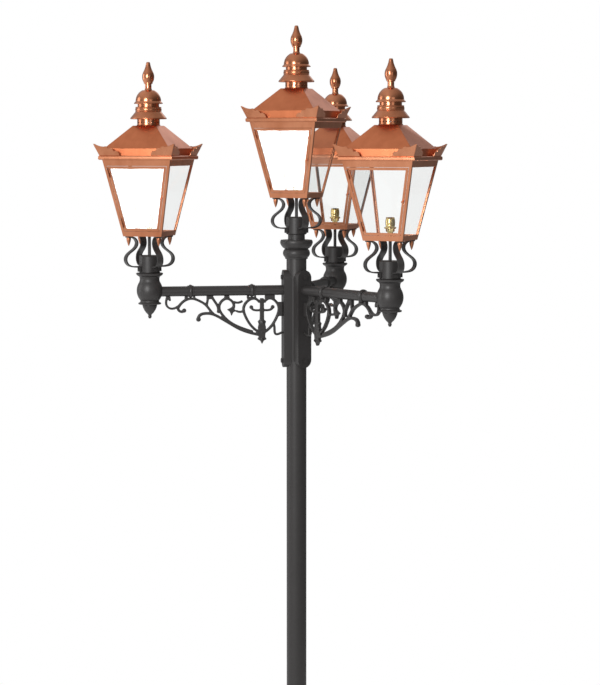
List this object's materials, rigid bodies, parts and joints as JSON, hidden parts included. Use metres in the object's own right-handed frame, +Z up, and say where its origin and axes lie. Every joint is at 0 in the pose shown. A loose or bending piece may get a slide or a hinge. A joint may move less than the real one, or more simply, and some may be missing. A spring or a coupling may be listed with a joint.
{
  "type": "four lantern lamp post",
  "caption": "Tall black lamp post: arms with scroll brackets carry copper lanterns with glass sides, and one more lantern stands on the column's top.",
  "frame": {"origin": "centre of the anchor bolts on the flange's underside, on the column's axis", "axes": "+Z up the column, -Y the side that the lantern doors and the base door face"},
  "size_m": [1.2876, 1.1957, 3.285],
  "materials": {
    "copper": "lacquered copper sheet, satin with soft brightening on edges",
    "clear_glass": "clear flat glass",
    "brass": "polished brass",
    "steel": "plain steel",
    "black_casting": "satin black paint on a casting",
    "black_steel": "satin black paint on tube and plate",
    "board": "bare plywood",
    "moulding": "moulded insulating case"
  },
  "bodies": {
    "post": {"arm_rings": "black_steel", "back_plates": "black_casting", "base_flange": "black_steel", "base_hinge_pins": "steel", "base_tube": "black_steel", "capital": "black_casting", "carrier_legs": "black_steel", "carrier_sockets": "black_casting", "centre_chimney": "copper", "centre_fixed_panes": "clear_glass", "centre_gutter": "copper", "centre_lantern_frame": "copper", "centre_roof": "copper", "column_shaft": "black_steel", "corner_leaves": "copper", "corner_nuts": "copper", "cutout_board": "board", "drop_finials": "black_casting", "finials": "copper", "fused_cutout": "moulding", "lampholder_stems": "black_steel", "lampholders": "brass", "lantern_hinge_pins": "steel", "left_arm_tube": "black_steel", "left_arm_vase": "black_casting", "left_chimney": "copper", "left_fixed_panes": "clear_glass", "left_gutter": "copper", "left_lantern_frame": "copper", "left_roof": "copper", "left_scroll_bracket": "black_casting", "leg_bolts": "black_steel", "plate_bolts": "black_steel", "rear_arm_tube": "black_steel", "rear_arm_vase": "black_casting", "rear_chimney": "copper", "rear_fixed_panes": "clear_glass", "rear_gutter": "copper", "rear_lantern_frame": "copper", "rear_roof": "copper", "rear_scroll_bracket": "black_casting", "right_arm_tube": "black_steel", "right_arm_vase": "black_casting", "right_chimney": "copper", "right_fixed_panes": "clear_glass", "right_gutter": "copper", "right_lantern_frame": "copper", "right_roof": "copper", "right_scroll_bracket": "black_casting"},
    "rear_lantern_door": {"rear_door_frame": "copper", "rear_door_pane": "clear_glass"},
    "left_lantern_door": {"left_door_frame": "copper", "left_door_pane": "clear_glass"},
    "right_lantern_door": {"right_door_frame": "copper", "right_door_pane": "clear_glass"},
    "centre_lantern_door": {"centre_door_frame": "copper", "centre_door_pane": "clear_glass"},
    "base_access_door": {"base_door": "black_steel"},
    "base_door_latch": {"base_door_lock": "steel"}
  },
  "joints": [
    {"name": "rear_lantern_door_hinge", "type": "hinge", "parent": "post", "child": "rear_lantern_door", "pos_m": [-0.12748, 0.45078, 2.64121], "axis": [0.1946, 0.1946, -0.9614], "range_deg": [0, 100]},
    {"name": "left_lantern_door_hinge", "type": "hinge", "parent": "post", "child": "left_lantern_door", "pos_m": [-0.57248, -0.3929, 2.64121], "axis": [0.1842, 0.2046, -0.9614], "range_deg": [0, 100]},
    {"name": "right_lantern_door_hinge", "type": "hinge", "parent": "post", "child": "right_lantern_door", "pos_m": [0.36637, -0.41048, 2.64121], "axis": [0.2077, 0.1806, -0.9614], "range_deg": [0, 100]},
    {"name": "centre_lantern_door_hinge", "type": "hinge", "parent": "post", "child": "centre_lantern_door", "pos_m": [-0.10061, -0.1014, 2.78121], "axis": [0.2077, 0.1806, -0.9614], "range_deg": [0, 100]},
    {"name": "base_door_hinge", "type": "hinge", "parent": "post", "child": "base_access_door", "pos_m": [-0.04801, -0.05975, 0.36], "axis": [0, 0, -1], "range_deg": [0, 110]},
    {"name": "base_door_lock_turn", "type": "hinge", "parent": "base_access_door", "child": "base_door_latch", "pos_m": [0.02447, -0.06542, 0.36], "axis": [-0.3503, 0.9366, 0], "range_deg": [0, 90]}
  ]
}
